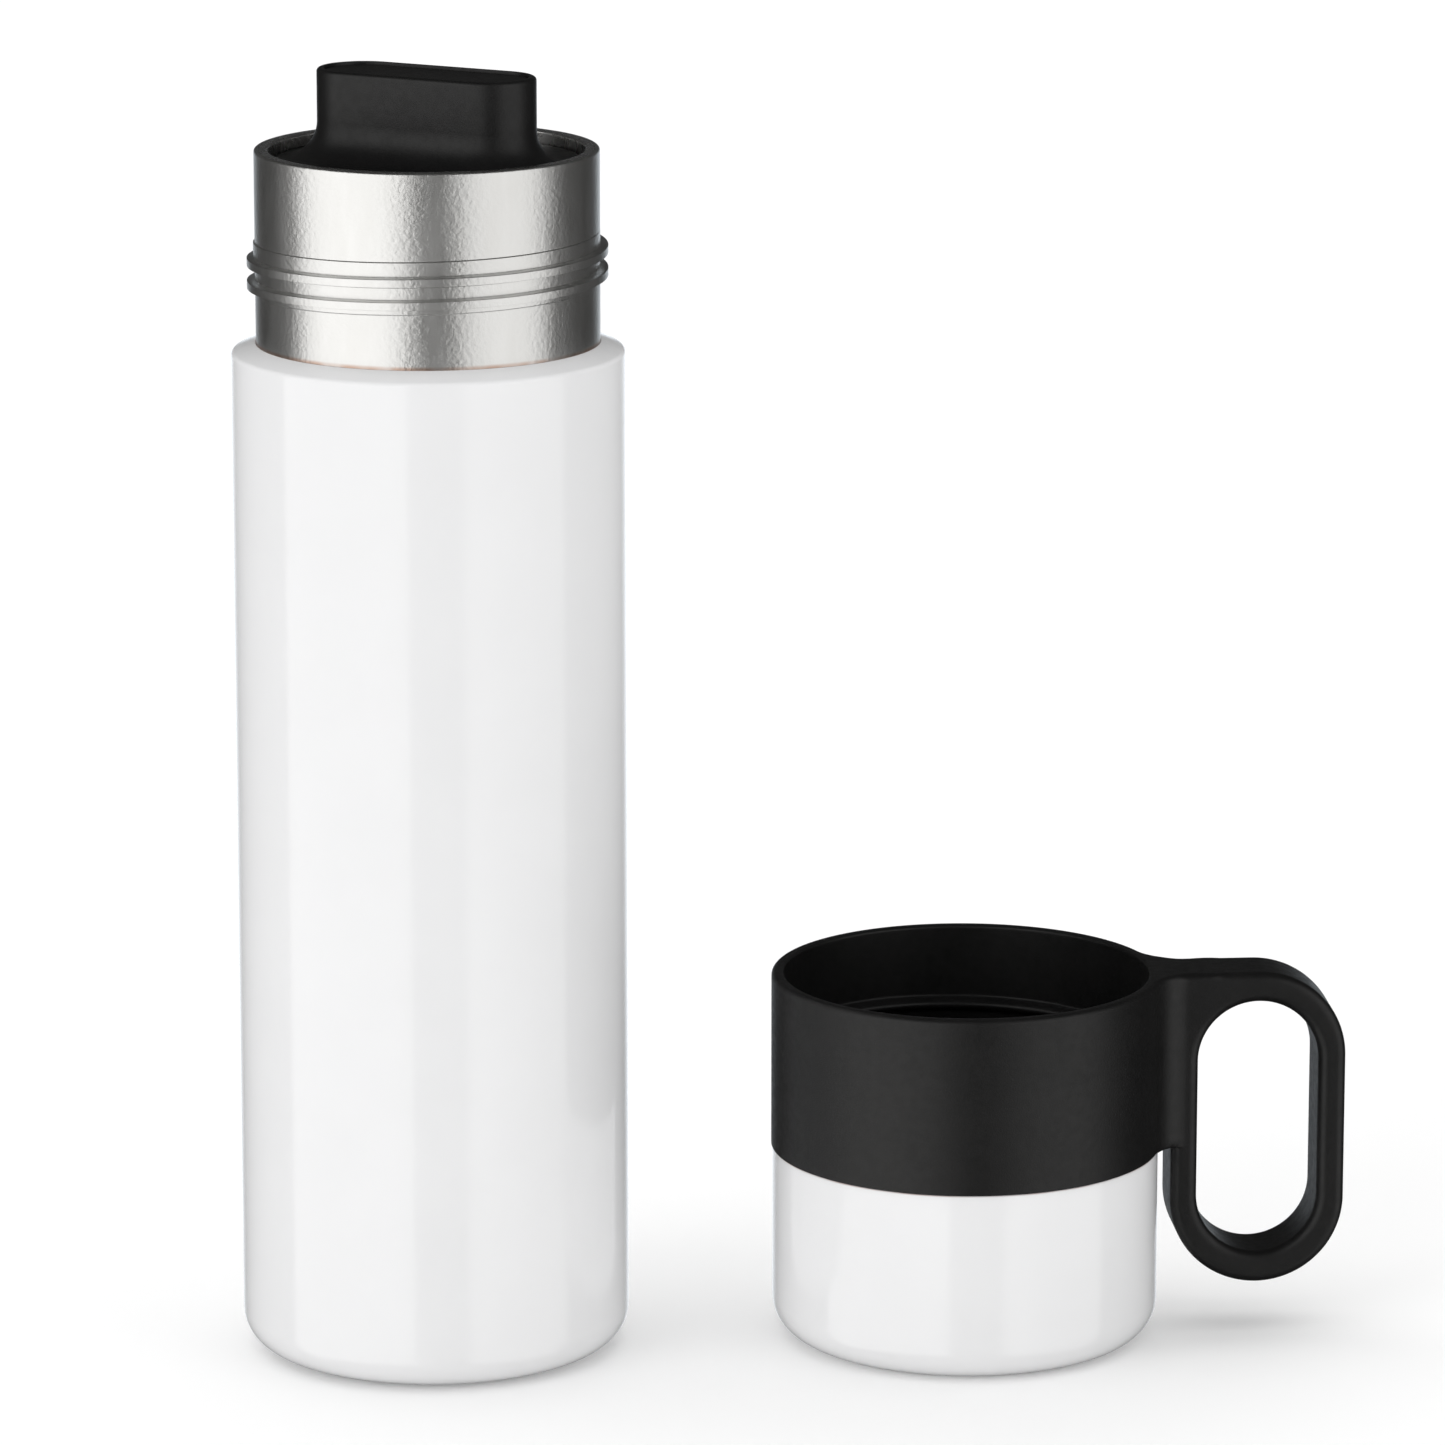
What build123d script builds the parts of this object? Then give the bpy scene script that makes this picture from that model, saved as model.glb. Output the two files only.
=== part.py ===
from build123d import *
from math import cos, radians, sin
import os

os.makedirs("parts", exist_ok=True)

# A vacuum flask with a screw stopper, and the drinking cup that screws over its neck.
# Millimetres. The flask's axis is Z and it stands on z = 0. The cup stands beside it.

# ---- Driving dimensions ------------------------------------------------------------
# Flask body
body_r = 34.0
body_wall = 0.6
base_edge_r = 6.4  # rounding of the body's lower edge
curl_z = 0.4  # the shell's lowest edge, just clear of the table
curl_r = 26.4  # inner edge of the shell's base curl
ledge_z = 177.75  # outer edge of the shoulder ledge, where the cup's mouth lands
neck_foot_z = 179.4  # the shoulder rises to this height at the neck
neck_r = 29.65
neck_wall = 0.8
rim_z = 212.8

# Inner vessel
vessel_r = 30.2
vessel_wall = 0.5
mouth_r = 27.2
throat_r = 23.5
seat_z = 183.0  # flat step that the stopper's gasket presses on
floor_z = 14.0  # inside floor of the vessel
weld_z = 24.0  # seam between the vessel's wall and its dished bottom

# Screw stopper
disc_r = 27.0
disc_top = 210.6
disc_thickness = 3.0
grip_length = 41.0
grip_width = 16.0
grip_top = 225.9
grip_turn = -28.0  # angle of the bar grip about Z, in degrees
grip_foot_r = 6.2  # hollow rounding between the grip and the disc
grip_border = 1.3  # raised border round the inlay
grip_wall = 2.3
plug_r = 25.8
plug_wall = 2.0
plug_foot_z = 186.3
stem_r = 21.0
gasket_r = 25.5
gasket_play = 0.05  # clearance round the gasket, which slips on the stem as the stopper turns

# Stopper thread: two starts, so four turns lift the stopper clear of the mouth
stopper_lead = 10.0
stopper_starts = 2
stopper_ridge_base = 2.6
stopper_ridge_crest = 1.2
mouth_thread_crest_r = 26.1
plug_thread_crest_r = 26.95
mouth_thread_z = 196.0
thread_seating = 1.85  # the plug's ridges lie this far under the mouth's ridges

# Neck thread for the cup: one ridge of two turns, nearly square in section
cup_pitch = 3.9
neck_ridge_height = 1.4
neck_ridge_base = 2.3
neck_ridge_crest = 1.6
neck_thread_z = 189.1
neck_thread_start = 150.0
neck_thread_turns = 2.0
neck_thread_fade = 75.0  # angle over which each end grows out of the wall

# Cup
cup_x, cup_y = 93.6, 6.0
cup_height = 65.7
cup_shell_r = 34.1
cup_shell_wall = 1.5
cup_edge_r = 6.6
collar_z = 34.3  # joint line between the white shell and the black collar
collar_r = 34.35
cup_bore_r = 32.15
lap_height = 3.2  # the shell's lip reaches this far up inside the collar
liner_top = 41.0
liner_floor = 6.5
cup_thread_crest_r = 30.35
cup_thread_z = 48.5
cup_thread_turns = 1.25

# Handle, drawn in the upright plane through the cup's axis
handle_turn = 4.5  # angle of the handle about the cup's axis, in degrees
handle_width = 13.0
handle_inner = 36.0  # nearest and farthest faces of the loop from the cup's axis
handle_outer = 66.9
handle_foot = 9.0
hole_inner = 40.65
hole_outer = 62.1
hole_foot = 14.6
hole_top = 60.4
handle_edge_r = 1.5
handle_web_r = 5.0  # hollow rounding where the handle runs into the collar


# ---- Helpers -----------------------------------------------------------------------
def rounded_outline(*corners):
    """Closed outline. Each corner is a radius from the axis, a height and a rounding."""
    points = [corner[:2] for corner in corners]
    return FilletPolyline(*points, radius=[corner[2] for corner in corners], close=True)


def section_at(angle, origin=(0, 0, 0)):
    """Upright plane through an axis: its X points away from the axis, its Y points up."""
    a = radians(angle)
    return Plane(origin=origin, x_dir=(cos(a), sin(a), 0), z_dir=(sin(a), -cos(a), 0))


def thread_ridge(root_r, crest_r, base, crest, lead, start, turns, z, axis_at=(0, 0, 0), fade=30.0):
    """Helical ridge with slanting flanks that grows out of the wall and fades back."""
    step = 15.0
    bury = 0.25 if crest_r < root_r else -0.25  # the root lies this deep in the wall
    spread = (base - crest) / 2 * (bury / (root_r - crest_r))
    count = round(360 * turns / step)
    with BuildPart() as ridge:
        for i in range(count + 1):
            swept = 360 * turns * i / count
            grown = min(1.0, 0.05 + swept / fade, 0.05 + (360 * turns - swept) / fade)
            tip_r = root_r + grown * (crest_r - root_r)
            mid_z = z + lead * swept / 360
            with BuildSketch(section_at(start + swept, axis_at)):
                with BuildLine():
                    Polyline(
                        (root_r + bury, mid_z - base / 2 - spread),
                        (tip_r, mid_z - crest / 2),
                        (tip_r, mid_z + crest / 2),
                        (root_r + bury, mid_z + base / 2 + spread),
                        close=True,
                    )
                make_face()
        loft()
    return ridge.part


def export(piece, name):
    """Label a finished piece and write its file."""
    piece.part.label = name
    export_step(piece.part, f"parts/{name}.step")


# ---- Flask -------------------------------------------------------------------------
flask_section = Plane.XZ
shoulder_slope = (neck_foot_z - ledge_z) / (body_r - neck_r)
sheet_drop = body_wall * (1 + shoulder_slope**2) ** 0.5  # sheet thickness measured upright

# Painted outer shell, curled in under the base and sloped up to the neck
with BuildPart() as outer_shell:
    inner_r = body_r - body_wall
    with BuildSketch(flask_section):
        with BuildLine():
            rounded_outline(
                (curl_r, curl_z, 0),
                (body_r, curl_z, base_edge_r),
                (body_r, ledge_z, 0.8),
                (neck_r, neck_foot_z, 0),
                (neck_r, neck_foot_z - sheet_drop, 0),
                (inner_r, ledge_z + shoulder_slope * body_wall - sheet_drop, 0.3),
                (inner_r, curl_z + body_wall, base_edge_r - body_wall),
                (curl_r, curl_z + body_wall, 0),
            )
        make_face()
    revolve(axis=Axis.Z)
export(outer_shell, "outer_shell")

# Bare neck ring: a flange under the shoulder, the plain neck and the rolled thread
neck_thread = thread_ridge(
    neck_r,
    neck_r + neck_ridge_height,
    neck_ridge_base,
    neck_ridge_crest,
    cup_pitch,
    neck_thread_start,
    neck_thread_turns,
    neck_thread_z,
    fade=neck_thread_fade,
)
with BuildPart() as neck_ring:
    flange_r = 32.6
    flange_top = neck_foot_z - sheet_drop - shoulder_slope * (flange_r - neck_r)
    flange_drop = neck_wall * (1 + shoulder_slope**2) ** 0.5
    bore = neck_r - neck_wall
    with BuildSketch(flask_section):
        with BuildLine():
            rounded_outline(
                (bore, rim_z, 0),
                (neck_r, rim_z, 0.45),
                (neck_r, neck_foot_z - sheet_drop, 0),
                (flange_r, flange_top, 0),
                (flange_r, flange_top - flange_drop, 0),
                (bore, flange_top - flange_drop + shoulder_slope * (flange_r - bore), 0.5),
            )
        make_face()
    revolve(axis=Axis.Z)
    add(neck_thread)
export(neck_ring, "neck_ring")

# Inner vessel: lip, threaded mouth, gasket seat, throat, shoulder and wall
mouth_threads = [
    thread_ridge(
        mouth_r,
        mouth_thread_crest_r,
        stopper_ridge_base,
        stopper_ridge_crest,
        stopper_lead,
        360 * k / stopper_starts,
        0.55,
        mouth_thread_z,
    )
    for k in range(stopper_starts)
]
with BuildPart() as inner_vessel:
    lip_r = neck_r - neck_wall - 0.05
    with BuildSketch(flask_section):
        with BuildLine():
            rounded_outline(
                (mouth_r, rim_z, 0.4),
                (lip_r, rim_z, 0),
                (lip_r, rim_z - 0.7, 0),
                (mouth_r + vessel_wall, rim_z - 0.7, 0.3),
                (mouth_r + vessel_wall, seat_z - vessel_wall, 1.7),
                (throat_r + vessel_wall, seat_z - vessel_wall, 0.3),
                (throat_r + vessel_wall, 176.8, 1.5),
                (vessel_r, 166.2, 6.5),
                (vessel_r, weld_z, 0),
                (vessel_r - vessel_wall, weld_z, 0),
                (vessel_r - vessel_wall, 166.0, 6.0),
                (throat_r, 176.5, 2.0),
                (throat_r, seat_z, 0.7),
                (mouth_r, seat_z, 1.2),
            )
        make_face()
    revolve(axis=Axis.Z)
    add(mouth_threads)
export(inner_vessel, "inner_vessel")

# Dished floor welded to the vessel's wall
with BuildPart() as inner_bottom:
    with BuildSketch(flask_section):
        with BuildLine():
            rounded_outline(
                (0, floor_z, 0),
                (0, floor_z - vessel_wall, 0),
                (vessel_r, floor_z - vessel_wall, 8.5),
                (vessel_r, weld_z, 0),
                (vessel_r - vessel_wall, weld_z, 0),
                (vessel_r - vessel_wall, floor_z, 8.0),
            )
        make_face()
    revolve(axis=Axis.Z)
export(inner_bottom, "inner_bottom")

# Copper foil wrapped round the vessel's straight wall
with BuildPart() as radiation_shield:
    foil = 0.1
    foil_gap = 0.1
    with BuildSketch(Plane.XY.offset(weld_z + 2)):
        Circle(vessel_r + foil_gap + foil)
        Circle(vessel_r + foil_gap, mode=Mode.SUBTRACT)
    extrude(amount=134)
export(radiation_shield, "radiation_shield")

# Getter pellet and the spot-welded strap that holds it under the vessel's floor
getter_x = 14.0
getter_r = 3.0
strap_low = 11.0
strap_top = floor_z - vessel_wall - 0.05
strap = 0.3
with BuildPart() as getter:
    with BuildSketch(Plane.XY.offset(strap_low + strap + 0.05)):
        with Locations((getter_x, 0)):
            Circle(getter_r)
    extrude(amount=1.6)
    fillet(getter.edges(), 0.3)
export(getter, "getter")

with BuildPart() as getter_clip:
    arm = getter_r + 0.1
    with BuildSketch(Plane.XZ):
        with BuildLine():
            Polyline(
                (getter_x - 2 * arm, strap_top),
                (getter_x - 2 * arm, strap_top - strap),
                (getter_x - arm - strap, strap_top - strap),
                (getter_x - arm - strap, strap_low),
                (getter_x + arm + strap, strap_low),
                (getter_x + arm + strap, strap_top - strap),
                (getter_x + 2 * arm, strap_top - strap),
                (getter_x + 2 * arm, strap_top),
                (getter_x + arm, strap_top),
                (getter_x + arm, strap_low + strap),
                (getter_x - arm, strap_low + strap),
                (getter_x - arm, strap_top),
                close=True,
            )
        make_face()
    extrude(amount=2, both=True)
export(getter_clip, "getter_clip")

# Vacuum end plate with its evacuation dimple, and the glass bead that seals it
plate_z = 8.2
plate_wall = 0.6
dimple_r = 3.2
dimple_rise = 1.0
with BuildPart() as base_plate:
    edge_r = body_r - body_wall - 0.05
    with BuildSketch(flask_section):
        with BuildLine():
            rounded_outline(
                (0.6, plate_z + dimple_rise, 0),
                (dimple_r, plate_z + dimple_rise, 0),
                (dimple_r + 0.4, plate_z, 0),
                (edge_r, plate_z, 0.9),
                (edge_r, plate_z + 4, 0),
                (edge_r - plate_wall, plate_z + 4, 0),
                (edge_r - plate_wall, plate_z + plate_wall, 0.3),
                (dimple_r + 0.8, plate_z + plate_wall, 0),
                (dimple_r + 0.4, plate_z + dimple_rise + plate_wall, 0),
                (0.6, plate_z + dimple_rise + plate_wall, 0),
            )
        make_face()
    revolve(axis=Axis.Z)
export(base_plate, "base_plate")

with BuildPart() as vacuum_seal_bead:
    with BuildSketch(flask_section):
        with BuildLine():
            rounded_outline(
                (0, plate_z - 0.3, 0),
                (dimple_r - 0.4, plate_z - 0.3, 0.6),
                (dimple_r - 0.4, plate_z + dimple_rise, 0),
                (0, plate_z + dimple_rise, 0),
            )
        make_face()
    revolve(axis=Axis.Z)
export(vacuum_seal_bead, "vacuum_seal_bead")

# Thin steel pan inside the base curl, and the soft pad that fills it
pan_r = curl_r - 0.1
pan_floor = 1.4
with BuildPart() as base_cover:
    with BuildSketch(flask_section):
        with BuildLine():
            rounded_outline(
                (0, pan_floor, 0),
                (pan_r - 0.6, pan_floor, 0),
                (pan_r - 0.6, curl_z + 0.2, 0),
                (pan_r, curl_z + 0.2, 0),
                (pan_r, pan_floor + 0.6, 0.5),
                (0, pan_floor + 0.6, 0),
            )
        make_face()
    revolve(axis=Axis.Z)
export(base_cover, "base_cover")

with BuildPart() as foot_pad:
    with BuildSketch(Plane.XY):
        Circle(pan_r - 0.7)
    extrude(amount=pan_floor - 0.05)
    fillet(foot_pad.edges().group_by(Axis.Z)[0], 0.4)
export(foot_pad, "foot_pad")

# ---- Stopper -----------------------------------------------------------------------
disc_foot = disc_top - disc_thickness
grip_dir = (cos(radians(grip_turn)), sin(radians(grip_turn)), 0)


def grip_plane(height):
    """Level plane whose X runs along the bar grip."""
    return Plane(origin=(0, 0, height), x_dir=grip_dir, z_dir=(0, 0, 1))


# Knob: disc, bar grip with a hollow foot, pocket for the inlay and hollow inside
with BuildPart() as stopper_knob:
    with BuildSketch(Plane.XY.offset(disc_foot)):
        Circle(disc_r)
    extrude(amount=disc_thickness)
    fillet(stopper_knob.edges().filter_by(GeomType.CIRCLE), 0.4)
    with BuildSketch(grip_plane(disc_top)):
        SlotOverall(grip_length, grip_width)
    extrude(amount=grip_top - disc_top)
    grip_edges = stopper_knob.edges().filter_by_position(
        Axis.Z, disc_top - 0.01, disc_top + 0.01
    )
    fillet(grip_edges.filter_by(lambda e: e.distance_to((0, 0, disc_top)) < 21), grip_foot_r)
    fillet(stopper_knob.edges().group_by(Axis.Z)[-1], 0.7)
    with BuildSketch(grip_plane(grip_top)):
        SlotOverall(grip_length - 2 * grip_border, grip_width - 2 * grip_border)
    extrude(amount=-1.0, mode=Mode.SUBTRACT)
    with BuildSketch(grip_plane(disc_foot)):
        SlotOverall(grip_length - 2 * grip_wall, grip_width - 2 * grip_wall)
    extrude(amount=grip_top - disc_foot - 2.7, mode=Mode.SUBTRACT)
    with BuildSketch(Plane.XY.offset(disc_foot)):
        Circle(plug_r - plug_wall - 0.2)
        Circle(plug_r - plug_wall - 1.8, mode=Mode.SUBTRACT)
    extrude(amount=-2.0)
export(stopper_knob, "stopper_knob")

with BuildPart() as grip_inlay:
    inset = 2 * grip_border + 0.1
    with BuildSketch(grip_plane(grip_top - 0.98)):
        SlotOverall(grip_length - inset, grip_width - inset)
    extrude(amount=0.5)
    fillet(grip_inlay.edges().group_by(Axis.Z)[-1], 0.15)
export(grip_inlay, "grip_inlay")

# Plug: hollow threaded cup with a stem below it for the gasket and its cap
plug_threads = [
    thread_ridge(
        plug_r,
        plug_thread_crest_r,
        stopper_ridge_base,
        stopper_ridge_crest,
        stopper_lead,
        360 * k / stopper_starts - 120,
        0.75,
        mouth_thread_z - thread_seating - stopper_lead * 120 / 360,
    )
    for k in range(stopper_starts)
]
stem_foot = 180.8
with BuildPart() as stopper_plug:
    with BuildSketch(flask_section):
        with BuildLine():
            rounded_outline(
                (0, plug_foot_z, 0),
                (stem_r - 2, plug_foot_z, 0),
                (stem_r - 2, stem_foot, 0),
                (stem_r, stem_foot, 0),
                (stem_r, plug_foot_z, 0),
                (plug_r, plug_foot_z, 0.6),
                (plug_r, disc_foot, 0),
                (plug_r - plug_wall, disc_foot, 0),
                (plug_r - plug_wall, plug_foot_z + plug_wall, 1.0),
                (0, plug_foot_z + plug_wall, 0),
            )
        make_face()
    revolve(axis=Axis.Z)
    add(plug_threads)
export(stopper_plug, "stopper_plug")

with BuildPart() as stopper_insulation:
    with BuildSketch(Plane.XY.offset(plug_foot_z + plug_wall + 0.1)):
        Circle(plug_r - plug_wall - 0.2)
    extrude(amount=disc_foot - plug_foot_z - plug_wall - 2.3)
    fillet(stopper_insulation.edges().group_by(Axis.Z)[0], 1.0)
export(stopper_insulation, "stopper_insulation")

# Cap that snaps round the stem and carries the gasket
cap_r = throat_r - 0.5
cap_foot = 179.2
cap_floor = 180.75
with BuildPart() as stopper_bottom_cap:
    with BuildSketch(flask_section):
        with BuildLine():
            rounded_outline(
                (0, cap_foot, 0),
                (cap_r, cap_foot, 1.0),
                (cap_r, seat_z, 0.4),
                (stem_r + 0.05, seat_z, 0),
                (stem_r + 0.05, cap_floor, 0),
                (stem_r - 2.05, cap_floor, 0),
                (stem_r - 2.05, seat_z + 1.5, 0.3),
                (stem_r - 3.6, seat_z + 1.5, 0.3),
                (stem_r - 3.6, cap_floor, 0),
                (0, cap_floor, 0),
            )
        make_face()
    revolve(axis=Axis.Z)
export(stopper_bottom_cap, "stopper_bottom_cap")

# Gasket: two soft lips round a shallow groove
gasket_low = seat_z + gasket_play
gasket_high = plug_foot_z - gasket_play
gasket_mid = (gasket_low + gasket_high) / 2
with BuildPart() as stopper_gasket:
    with BuildSketch(flask_section):
        with BuildLine():
            rounded_outline(
                (stem_r + gasket_play, gasket_low, 0),
                (gasket_r, gasket_low, 0.6),
                (gasket_r, gasket_mid - 0.5, 0.2),
                (gasket_r - 0.6, gasket_mid, 0.2),
                (gasket_r, gasket_mid + 0.5, 0.2),
                (gasket_r, gasket_high, 0.6),
                (stem_r + gasket_play, gasket_high, 0),
            )
        make_face()
    revolve(axis=Axis.Z)
export(stopper_gasket, "stopper_gasket")

# ---- Cup ---------------------------------------------------------------------------
cup_foot = (cup_x, cup_y, 0)
cup_axis = Axis(cup_foot, (0, 0, 1))
cup_section = section_at(handle_turn, cup_foot)

# White outer cup with a recessed base and a thin lip that laps inside the collar
lip_outer = collar_r - 1.2
with BuildPart() as cup_shell:
    inner_r = cup_shell_r - cup_shell_wall
    with BuildSketch(cup_section):
        with BuildLine():
            rounded_outline(
                (0, 1.0, 0),
                (24.0, 1.0, 0.4),
                (24.8, 0, 0.4),
                (cup_shell_r, 0, cup_edge_r),
                (cup_shell_r, collar_z, 0.25),
                (lip_outer, collar_z, 0),
                (lip_outer, collar_z + lap_height, 0),
                (inner_r, collar_z + lap_height, 0),
                (inner_r, 1.0 + cup_shell_wall, cup_edge_r - cup_shell_wall),
                (0, 1.0 + cup_shell_wall, 0),
            )
        make_face()
    revolve(axis=cup_axis)
export(cup_shell, "cup_shell")

# Black inner cup, stepped in below the collar's thread
with BuildPart() as cup_liner:
    liner_r = cup_bore_r - 0.05
    with BuildSketch(cup_section):
        with BuildLine():
            rounded_outline(
                (0, liner_floor, 0),
                (29.6, liner_floor, 5.0),
                (30.6, liner_top, 0.5),
                (liner_r, liner_top, 0),
                (liner_r, 31.0, 0),
                (31.6, 30.0, 0),
                (30.9, liner_floor - 1.7, 6.2),
                (0, liner_floor - 1.7, 0),
            )
        make_face()
    revolve(axis=cup_axis)
export(cup_liner, "cup_liner")

# Collar moulded in one with the loop handle and the cup's inside thread
cup_thread = thread_ridge(
    cup_bore_r,
    cup_thread_crest_r,
    3.0,
    0.6,
    cup_pitch,
    -160,
    cup_thread_turns,
    cup_thread_z,
    cup_foot,
)
collar_plane = Plane((cup_x, cup_y, collar_z), x_dir=cup_section.x_dir, z_dir=(0, 0, 1))
collar_height = cup_height - collar_z
loop_width = handle_outer - handle_inner
loop_height = cup_height - handle_foot
loop_mid = (handle_inner + handle_outer) / 2
hole_width = hole_outer - hole_inner
hole_height = hole_top - hole_foot
end_flat = 0.4  # half the short level stretch at the middle of each round end
with BuildPart() as cup_collar:
    # Ring and handle root in one outline, with hollow roundings in the two corners
    with BuildSketch(collar_plane) as ring_outline:
        Circle(collar_r)
        with Locations((collar_r - 4, 0)):
            Rectangle(14, handle_width, align=(Align.MIN, Align.CENTER))
        corners = ring_outline.vertices().filter_by(lambda v: Vector(*v).length < collar_r + 0.1)
        fillet(corners.filter_by(lambda v: abs(v.Y) > handle_width / 2 - 0.1), handle_web_r)
        Circle(cup_bore_r, mode=Mode.SUBTRACT)
    extrude(amount=collar_height)
    with BuildSketch(collar_plane):
        Circle(lip_outer + 0.05)
    extrude(amount=lap_height + 0.1, mode=Mode.SUBTRACT)
    # Loop: an upright ring with round ends, square where it runs into the collar
    with BuildSketch(cup_section):
        with Locations((loop_mid, (handle_foot + cup_height) / 2)):
            RectangleRounded(loop_width, loop_height, loop_width / 2 - end_flat)
        with Locations((collar_r - 0.2, cup_height)):
            Rectangle(loop_mid - collar_r, collar_height - 2, align=(Align.MIN, Align.MAX))
    extrude(amount=handle_width / 2, both=True)
    with BuildSketch(cup_section):
        with Locations(((hole_inner + hole_outer) / 2, (hole_foot + hole_top) / 2)):
            RectangleRounded(hole_width, hole_height, hole_width / 2 - end_flat)
    extrude(amount=handle_width, both=True, mode=Mode.SUBTRACT)
    # Round the loop's edges and the rim's outer edge, but no seam that is smooth already
    side_faces = cup_collar.faces().filter_by(cup_section)
    side_edges = side_faces.edges().filter_by(lambda e: abs(e.center().Z - collar_z) > 0.1)
    side_edges = side_edges.filter_by(lambda e: abs(e.length - collar_height) > 0.01)
    rim_edges = cup_collar.faces().sort_by(Axis.Z)[-1].outer_wire().edges()
    rim_edges = rim_edges - rim_edges.filter_by(Axis(cup_foot, cup_section.z_dir))
    fillet(ShapeList({*side_edges, *rim_edges}), handle_edge_r)
    fillet(cup_collar.faces().sort_by(Axis.Z)[-1].inner_wires()[0].edges(), 0.4)
    add(cup_thread)
export(cup_collar, "cup_collar")
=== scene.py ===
import math

import bpy
import numpy as np
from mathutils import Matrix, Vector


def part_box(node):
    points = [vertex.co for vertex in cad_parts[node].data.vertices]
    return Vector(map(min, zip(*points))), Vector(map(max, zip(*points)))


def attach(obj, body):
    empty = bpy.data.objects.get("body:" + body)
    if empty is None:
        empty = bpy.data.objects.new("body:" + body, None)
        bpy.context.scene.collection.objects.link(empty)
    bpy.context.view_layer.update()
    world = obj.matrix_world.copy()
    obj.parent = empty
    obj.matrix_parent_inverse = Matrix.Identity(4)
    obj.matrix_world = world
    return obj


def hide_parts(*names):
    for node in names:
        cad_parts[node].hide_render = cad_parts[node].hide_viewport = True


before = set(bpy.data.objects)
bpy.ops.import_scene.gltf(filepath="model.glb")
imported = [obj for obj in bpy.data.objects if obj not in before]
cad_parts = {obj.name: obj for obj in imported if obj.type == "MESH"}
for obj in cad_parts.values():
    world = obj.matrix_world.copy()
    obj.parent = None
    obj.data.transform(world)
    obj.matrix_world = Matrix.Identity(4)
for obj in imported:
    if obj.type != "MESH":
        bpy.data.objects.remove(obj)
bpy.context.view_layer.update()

# The looks of a vacuum flask with its screw stopper and its handled cup.
# Shapes are worked out in millimetres on each piece's own upright axis, then put in place.
MM = 0.001
COLUMNS = 288  # mesh columns round the flask and the cup


# ---- Sizes read from the frame ---------------------------------------------------------
def box_mm(node):
    """Lowest and highest corner of a CAD node, in millimetres."""
    low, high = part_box(node)
    return np.array(low) / MM, np.array(high) / MM


shell_low, shell_high = box_mm("outer_shell")
knob_low, knob_high = box_mm("stopper_knob")
inlay_low, inlay_high = box_mm("grip_inlay")
plug_low, plug_high = box_mm("stopper_plug")
cup_low, cup_high = box_mm("cup_shell")
liner_low, liner_high = box_mm("cup_liner")
collar_low, collar_high = box_mm("cup_collar")

FLASK = (0.0, 0.0)
CUP = tuple((cup_low + cup_high)[:2] / 2)
body_r = shell_high[0]
body_foot = shell_low[2]
neck_foot_z = shell_high[2]
rim_z = box_mm("neck_ring")[1][2]
vessel_foot = box_mm("inner_vessel")[0][2]
disc_r = (knob_high[0] - knob_low[0]) / 2
disc_foot = plug_high[2]
grip_top = knob_high[2]
cup_r = (cup_high[0] - cup_low[0]) / 2
cup_height = collar_high[2]
handle_foot = collar_low[2]

# ---- Sizes of details ------------------------------------------------------------------
WALL = 0.6
BASE_HOLE_R = 26.4  # the painted shell is open underneath, inside this radius
BASE_EDGE = 6.4
LEDGE_DROP = 1.65  # the shoulder's outer edge lies this far under the neck's foot
LEDGE_EDGE = 0.9
NECK_R = 29.65
NECK_BORE_R = 28.85
NECK_TUCK = 1.5  # the neck reaches this far into the shell
RIM_EDGE = 0.45
MOUTH_R = 27.2
LIP_R = 28.8
LIP_THICKNESS = 0.7
SHEET = 0.5
SEAT_Z = 183.0
THROAT_R = 23.5
THROAT_Z = 176.5
VESSEL_R = 29.7
VESSEL_SHOULDER_Z = 166.0

# Thread on the neck: a nearly square ridge, with low run-outs above and below it
RIDGE_HEIGHT = 1.4
RIDGE_BASE = 1.9
RIDGE_CREST = 1.3
RIDGE_PITCH = 3.9
RIDGE_START = 115.0
RIDGE_TURNS = 2.1
RIDGE_Z = 188.82  # at its start
RIDGE_FADE = 60.0
RIDGE_ROWS = 48  # mesh rows in one pitch
BAND_UNDER = 2.4  # the climbing rows go on this far under and over the ridge
BAND_OVER = 2.2
BAND_GAP = 0.15
RUNOUT_HEIGHT = 0.28
# Start angle, turns, rise over the ridge's start, fade, width at the base and at the crest
UPPER_RUNOUT = (120, 0.7, 6.1, 60, 2.7, 2.3)
LOWER_RUNOUT = (190, 0.42, -0.25, 30, 1.4, 1.05)
LOWER_SHARE = 0.5  # height of the lower run-out as a share of the upper one's

# Stopper thread, two starts, in the mouth and on the plug
STOPPER_LEAD = 10.0
STOPPER_BASE = 2.6
STOPPER_CREST = 1.2
MOUTH_CREST_R = 26.1
MOUTH_TURNS = 0.55
MOUTH_Z = 196.0
PLUG_R = 25.8
PLUG_CREST_R = 26.95
PLUG_TURNS = 0.75
PLUG_START = -120.0
PLUG_Z = MOUTH_Z - 1.85 - STOPPER_LEAD / 3  # its ridges start under the mouth's
PLUG_BORE_R = 23.8
PLUG_FLOOR = 2.0
STEM_R = 21.0
STEM_BORE_R = 19.0
STEM_LENGTH = 5.5

# Disc and bar grip
DISC_TOP = 210.6
DISC_EDGE = 0.4
GRIP_LENGTH = 41.0
GRIP_WIDTH = 16.0
GRIP_TURN = math.radians(-28.0)
GRIP_FOOT = 6.2
GRIP_EDGE = 0.7
GRIP_BORDER = 1.3

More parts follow.
